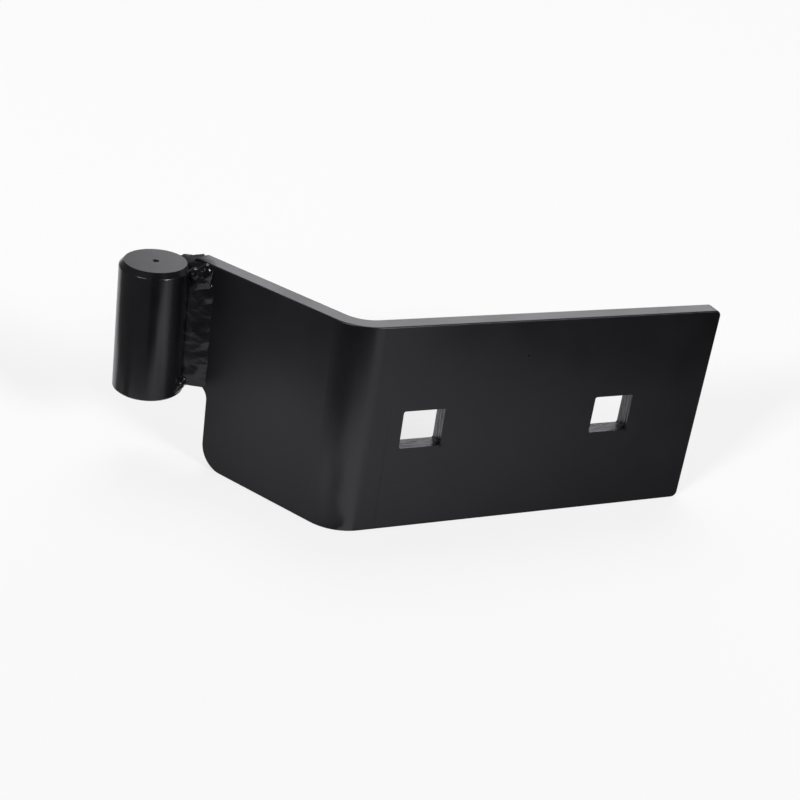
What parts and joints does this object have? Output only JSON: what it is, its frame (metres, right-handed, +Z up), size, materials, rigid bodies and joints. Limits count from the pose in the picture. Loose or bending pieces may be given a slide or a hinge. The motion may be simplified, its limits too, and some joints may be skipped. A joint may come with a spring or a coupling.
{
  "type": "tractor door hinge",
  "caption": "Bent steel hinge leaf with square bolt holes, welded to a turned barrel whose blind bore drops over a lift-off pin.",
  "frame": {"origin": "on the pin axis, level with the centres of the square bolt holes, which is half the height of the plate", "axes": "+Z up along the pin axis, towards the closed top of the barrel; +X along the long leg of the plate, away from the barrel; +Y from the outer face of the long leg to its mounting face"},
  "size_m": [0.1307, 0.05, 0.05],
  "materials": {
    "painted_plate": "semi-gloss black powder coat",
    "painted_barrel": "semi-gloss black powder coat",
    "painted_weld": "semi-gloss black powder coat over a rippled weld"
  },
  "bodies": {
    "root": {"hinge_plate": "painted_plate", "hinge_barrel": "painted_barrel", "front_weld": "painted_weld", "rear_weld": "painted_weld"}
  },
  "joints": []
}
